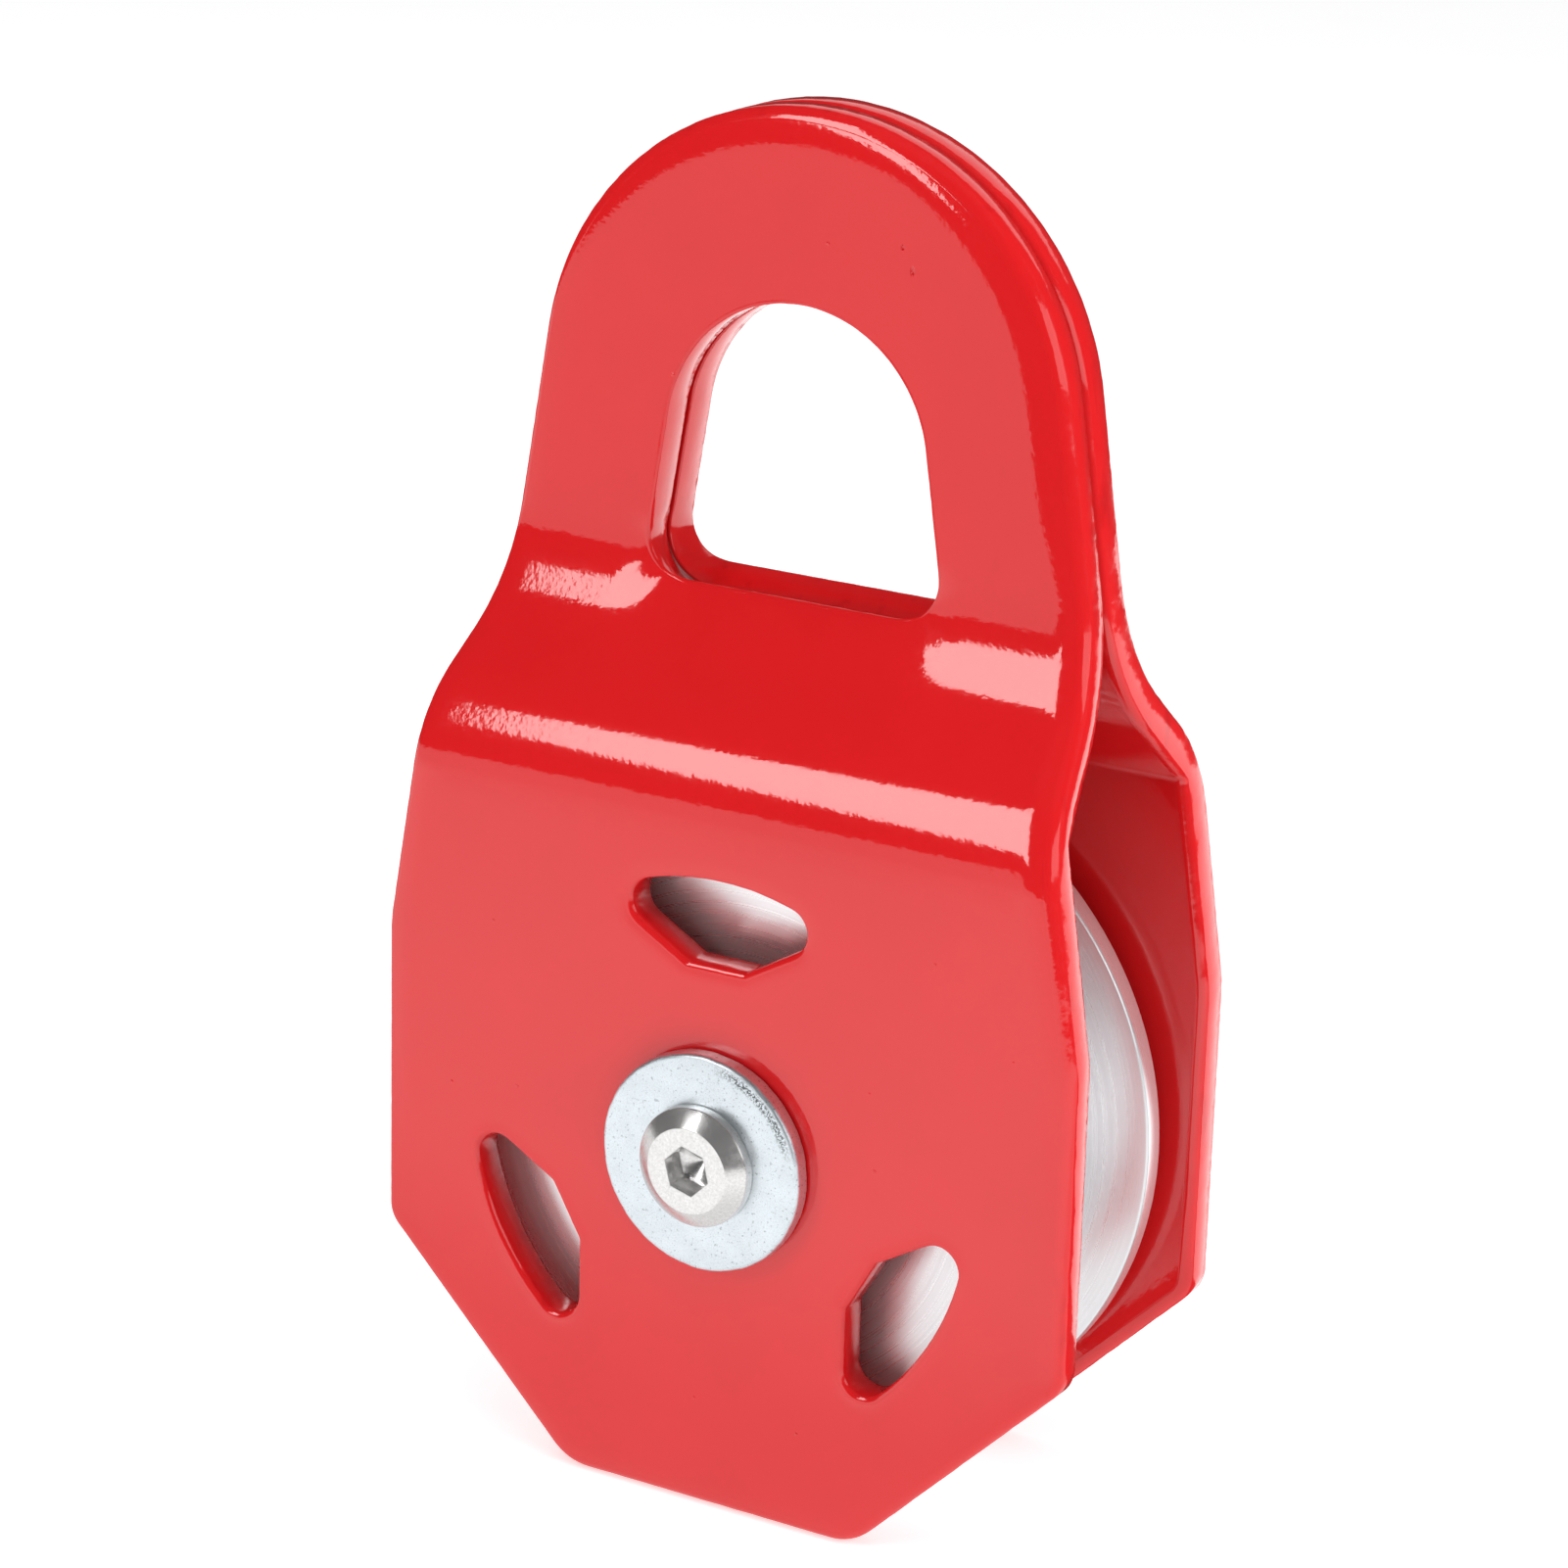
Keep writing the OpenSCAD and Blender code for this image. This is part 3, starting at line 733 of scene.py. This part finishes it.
def nickel():
    m = Mat("bright_nickel")
    grain = m.noise(3200, 2, 0.6)
    base = m.mix(m.span(grain, 0.35, 0.7), (0.68, 0.67, 0.66), (0.78, 0.775, 0.77))
    m.set(Base_Color=base, Metallic=0.85)
    m.set(Roughness=m.span(m.noise(700, 3, 0.6), 0.3, 0.7, 0.17, 0.27))
    n1 = m.bump(m.noise(1900, 3, 0.65), 0.00001, 0.4)
    m.put(m.bsdf.inputs["Normal"], m.bump(m.noise(300, 2, 0.5), 0.00003, 0.4, n1))
    return m.m


def turned(name, low, high, rough, pitch, depth, metallic=1.0):
    """Turned metal: fine rings round the axle, uneven in depth and colour."""
    m = Mat(name)
    r, x, y, z = m.radius()
    along = m.math("ADD", r, m.math("MULTIPLY", y, 0.83))
    comb = m.node("CombineXYZ")
    m.put(comb.inputs[0], m.math("MULTIPLY", along, 1.0 / pitch))
    m.put(comb.inputs[1], m.math("MULTIPLY", m.noise(6, 1), 0.35))
    rings = m.noise(1.0, 3, 0.75, comb.outputs[0])
    comb2 = m.node("CombineXYZ")
    m.put(comb2.inputs[0], m.math("MULTIPLY", along, 0.18 / pitch))
    broad = m.noise(1.0, 2, 0.6, comb2.outputs[0])
    f = m.math("ADD", m.math("MULTIPLY", rings, 0.6), m.math("MULTIPLY", broad, 0.4))
    base = m.mix(m.span(f, 0.35, 0.65), low, high)
    m.set(Base_Color=base, Metallic=metallic)
    m.set(Roughness=m.span(f, 0.3, 0.7, rough + 0.08, rough - 0.05))
    m.bsdf.inputs["Anisotropic"].default_value = 0.6
    tan = m.node("Tangent", direction_type="RADIAL", axis="Y")
    m.put(m.bsdf.inputs["Tangent"], tan.outputs[0])
    n1 = m.bump(rings, depth, 0.5)
    m.put(m.bsdf.inputs["Normal"], n1)
    return m.m


def plain_metal(name, low, high, rough, metallic=1.0, scale=900):
    m = Mat(name)
    g = m.noise(scale, 3, 0.6)
    m.set(Base_Color=m.mix(m.span(g, 0.3, 0.7), low, high), Metallic=metallic)
    m.set(Roughness=m.span(g, 0.3, 0.7, rough + 0.06, rough - 0.04))
    m.put(m.bsdf.inputs["Normal"], m.bump(m.noise(scale * 1.7, 2, 0.6), 0.00001, 0.4))
    return m.m


MATERIALS = {
    "red_coat": red_coat(),
    "zinc": zinc(),
    "bright_screw": nickel(),
    "turned_aluminium": turned("turned_aluminium", (0.88, 0.88, 0.90), (0.94, 0.94, 0.955), 0.28, 0.00016, 0.0000010, 0.78),
    "axle_steel": turned("turned_steel", (0.42, 0.43, 0.45), (0.62, 0.63, 0.65), 0.30, 0.00030, 0.000006),
    "bearing_steel": turned("ground_steel", (0.60, 0.60, 0.61), (0.78, 0.78, 0.79), 0.18, 0.00012, 0.000003),
    "cage_brass": plain_metal("satin_brass", (0.60, 0.44, 0.17), (0.80, 0.63, 0.30), 0.32),
    "shield_steel": turned("shield_steel", (0.36, 0.37, 0.39), (0.52, 0.53, 0.55), 0.34, 0.00025, 0.000004),
}


def finish_with(ob, slot, body, *nodes):
    check_outward(ob)
    ob.data.materials.clear()
    ob.data.materials.append(MATERIALS[slot])
    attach(ob, body)
    if nodes:
        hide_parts(*nodes)


finish_with(build_plate("back_plate_visual", False), "red_coat", "frame", "back_plate")
finish_with(build_plate("front_plate_visual", True), "red_coat", "front_cheek", "front_plate")
finish_with(build_sheave(), "turned_aluminium", "wheel", "sheave")
finish_with(build_washer("front_washer_visual", True), "zinc", "frame", "front_washer")
finish_with(build_washer("back_washer_visual", False), "zinc", "frame", "back_washer")
finish_with(build_screw("front_screw_visual", True, rad(105)), "bright_screw", "frame", "front_screw")
finish_with(build_screw("back_screw_visual", False, rad(82)), "bright_screw", "frame", "back_screw")

slots = {s["node"]: s["material_slot"] for s in frame["record"]["subparts"]}
for node, ob in frame["nodes"].items():
    ob.data.materials.clear()
    ob.data.materials.append(MATERIALS[slots[node]])

# ------------------------------------------------------------------ floor, light and camera
scene = bpy.context.scene
centre = Vector((0, 0, 0.09))


def plane(name, w, h, where, facing=None):
    me = bpy.data.meshes.new(name)
    me.from_pydata([(-w / 2, -h / 2, 0), (w / 2, -h / 2, 0), (w / 2, h / 2, 0), (-w / 2, h / 2, 0)], [], [(0, 1, 2, 3)])
    ob = bpy.data.objects.new(name, me)
    scene.collection.objects.link(ob)
    ob.location = where
    if facing is not None:
        ob.rotation_mode = "QUATERNION"
        ob.rotation_quaternion = (Vector(facing) - Vector(where)).to_track_quat("Z", "Y")
    return ob


def emitter(ob, strength, colour=(1, 1, 1), camera=False, diffuse=False, glossy=True, shadow=False):
    m = bpy.data.materials.new(ob.name)
    m.use_nodes = True
    m.node_tree.nodes.clear()
    e = m.node_tree.nodes.new("ShaderNodeEmission")
    e.inputs[0].default_value = (*colour, 1)
    e.inputs[1].default_value = strength
    o = m.node_tree.nodes.new("ShaderNodeOutputMaterial")
    m.node_tree.links.new(e.outputs[0], o.inputs[0])
    ob.data.materials.append(m)
    ob.visible_camera, ob.visible_diffuse, ob.visible_glossy = camera, diffuse, glossy
    ob.visible_shadow = shadow
    ob.visible_transmission = ob.visible_volume_scatter = False
    return ob


def towards(az, el, dist):
    """A point seen from the block at azimuth az (0 is straight in front of the front plate, positive to the right)."""
    a, e = rad(az), rad(el)
    return centre + Vector((math.sin(a) * math.cos(e), -math.cos(a) * math.cos(e), math.sin(e))) * dist


def soft_light(name, az, el, dist, w, h, watts, glossy=True, colour=(1, 1, 1)):
    d = bpy.data.lights.new(name, "AREA")
    d.shape, d.size, d.size_y, d.energy, d.color = "RECTANGLE", w, h, watts, colour
    ob = bpy.data.objects.new(name, d)
    scene.collection.objects.link(ob)
    ob.location = towards(az, el, dist)
    ob.rotation_mode = "QUATERNION"
    ob.rotation_quaternion = (centre - ob.location).to_track_quat("-Z", "Y")
    ob.visible_glossy = glossy
    ob.visible_camera = False
    return ob


floor = plane("floor", 9, 9, (0, 0, 0))
fm = Mat("pale_floor")
fm.set(Base_Color=fm.mix(fm.noise(12, 3, 0.6), (0.84, 0.84, 0.85), (0.87, 0.87, 0.875)), Roughness=0.9)
fm.bsdf.inputs["Specular IOR Level"].default_value = 0.0
fm.bsdf.inputs["Emission Color"].default_value = (1, 1, 1, 1)
fm.bsdf.inputs["Emission Strength"].default_value = 0.52
floor.data.materials.append(fm.m)
floor.visible_glossy = False

# diffuse light; none of it shows in the gloss
key = soft_light("key_left", -36, 23, 1.3, 0.34, 0.44, 3.0, glossy=False)
top = soft_light("top", 20, 74, 1.3, 1.2, 1.2, 8.4, glossy=False)
right = soft_light("right", 95, 20, 1.2, 0.8, 0.9, 8.2, glossy=False)
front = soft_light("front_fill", -5, 8, 1.8, 1.2, 1.0, 1.1, glossy=False)


def card(name, corners, strength):
    """What the gloss shows: a flat bright card, seen by nothing else."""
    me = bpy.data.meshes.new(name)
    me.from_pydata([tuple(c) for c in corners], [], [tuple(range(len(corners)))])
    ob = bpy.data.objects.new(name, me)
    scene.collection.objects.link(ob)
    return emitter(ob, strength)


def seen(az, el, dist, origin=(0, -0.015, 0.105)):
    a, e = rad(az), rad(el)
    return Vector(origin) + Vector((math.sin(a), -math.cos(a), math.tan(e))) * dist


# strip light in front on the left, the lit table, and the bright room behind and on the right
flat = lambda *pts: [Vector((x, y, -0.0004)) for x, y in pts]
card("strip_card", [seen(-35.5, 18, 1.1), seen(-16, 5, 1.1), seen(-25, 44, 1.1), seen(-40, 31.5, 1.1)], 6.0)
table = card("table_card", flat((0.5, 0.02), (-1.6, 0.02), (-3.2, -1.0), (-1.25, -2.8), (-0.27, -0.74), (-0.15, -0.50), (0.05, -0.38), (0.5, -0.3)), 1.07)
# the table is brightest a hand's breadth in front of the block
tm = table.data.materials[0].node_tree
axis = tm.nodes.new("ShaderNodeSeparateXYZ")
tm.links.new(tm.nodes.new("ShaderNodeTexCoord").outputs["Object"], axis.inputs[0])
level = tm.nodes.new("ShaderNodeMath")
level.operation = "MULTIPLY"
for k, span in enumerate(((-0.04, -0.12, 0.89, 1.30), (-0.15, -0.45, 1.0, 0.71))):
    ramp = tm.nodes.new("ShaderNodeMapRange")
    ramp.interpolation_type = "SMOOTHSTEP"
    tm.links.new(axis.outputs[1], ramp.inputs[0])
    for socket, value in zip(ramp.inputs[1:5], span):
        socket.default_value = value
    tm.links.new(ramp.outputs[0], level.inputs[k])
tm.links.new(level.outputs[0], next(n for n in tm.nodes if n.type == "EMISSION").inputs[1])
card("rear_card", [seen(160, 17, 1.1), seen(225, 17, 1.1), seen(225, 52, 1.1), seen(160, 52, 1.1)], 0.95)
card("rear_table_card", flat((-0.4, 0.06), (0.9, 0.06), (0.9, 0.75), (-0.4, 0.75)), 1.7)
card("right_card", [seen(40, 4, 1.1), seen(84, 4, 1.1), seen(84, 30, 1.1), seen(40, 26, 1.1)], 1.5)

world = bpy.data.worlds.new("studio")
scene.world = world
world.use_nodes = True
wt = world.node_tree
wt.nodes.clear()
path = wt.nodes.new("ShaderNodeLightPath")
out = wt.nodes.new("ShaderNodeOutputWorld")
shades = []
for strength in (0.40, 1.0, 0.05):
    b = wt.nodes.new("ShaderNodeBackground")
    b.inputs[0].default_value = (1, 1, 1, 1)
    b.inputs[1].default_value = strength
    shades.append(b)
m1, m2 = wt.nodes.new("ShaderNodeMixShader"), wt.nodes.new("ShaderNodeMixShader")
wt.links.new(path.outputs["Is Glossy Ray"], m1.inputs[0])
wt.links.new(shades[0].outputs[0], m1.inputs[1])
wt.links.new(shades[2].outputs[0], m1.inputs[2])
wt.links.new(path.outputs["Is Camera Ray"], m2.inputs[0])
wt.links.new(m1.outputs[0], m2.inputs[1])
wt.links.new(shades[1].outputs[0], m2.inputs[2])
wt.links.new(m2.outputs[0], out.inputs[0])

scene.view_settings.view_transform = "Standard"
scene.view_settings.look = "None"
scene.view_settings.exposure = 0.0
scene.view_settings.gamma = 1.0

cam_data = bpy.data.cameras.new("camera")
cam_data.lens, cam_data.sensor_width, cam_data.sensor_fit = 109.458, 36.0, "HORIZONTAL"
cam_data.clip_start, cam_data.clip_end = 0.01, 30
cam = bpy.data.objects.new("camera", cam_data)
scene.collection.objects.link(cam)
R = Vector((0.85967, 0.51013, 0.02715))
U = Vector((-0.17901, 0.25104, 0.95128))
B = Vector((0.47846, -0.82265, 0.30713))
pos = Vector((0.297713, -0.517459, 0.288533))
cam.matrix_world = Matrix(((R.x, U.x, B.x, pos.x), (R.y, U.y, B.y, pos.y), (R.z, U.z, B.z, pos.z), (0, 0, 0, 1)))
scene.camera = cam
bpy.context.scene.camera = cam

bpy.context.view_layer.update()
